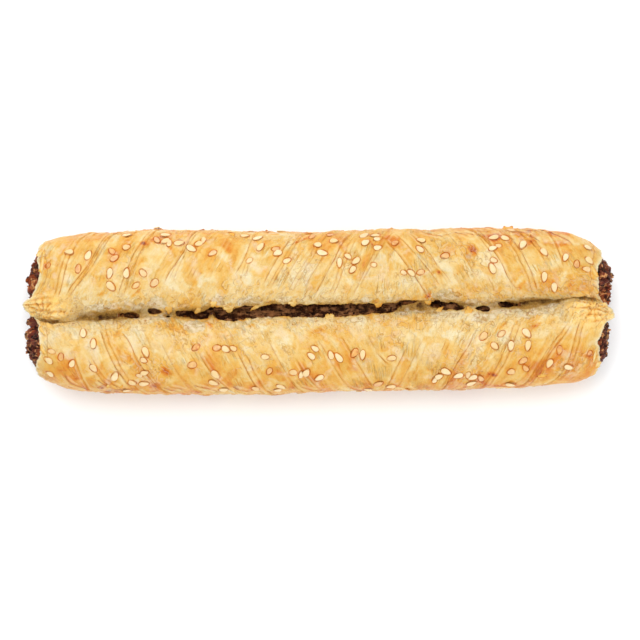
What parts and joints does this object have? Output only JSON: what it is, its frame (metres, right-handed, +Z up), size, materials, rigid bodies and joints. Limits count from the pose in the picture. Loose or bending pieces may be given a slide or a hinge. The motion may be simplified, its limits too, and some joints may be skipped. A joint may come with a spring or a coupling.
{
  "type": "puff pastry roll",
  "caption": "Long baked puff pastry roll in two side-by-side lobes, thin flaky crust cracked open along the valley, dark minced filling showing there and at both cut ends.",
  "frame": {"origin": "middle of the flat base that the roll rests on", "axes": "+X along the roll, +Y across the two lobes, +Z up out of the cracked top"},
  "size_m": [0.2, 0.0556, 0.0261],
  "materials": {
    "crust": "baked golden flaky dough, satin where oiled",
    "filling": "dark brown minced filling, moist",
    "seed": "hulled sesame seed, satin"
  },
  "bodies": {
    "root": {"crust": "crust", "filling": "filling"}
  },
  "joints": []
}
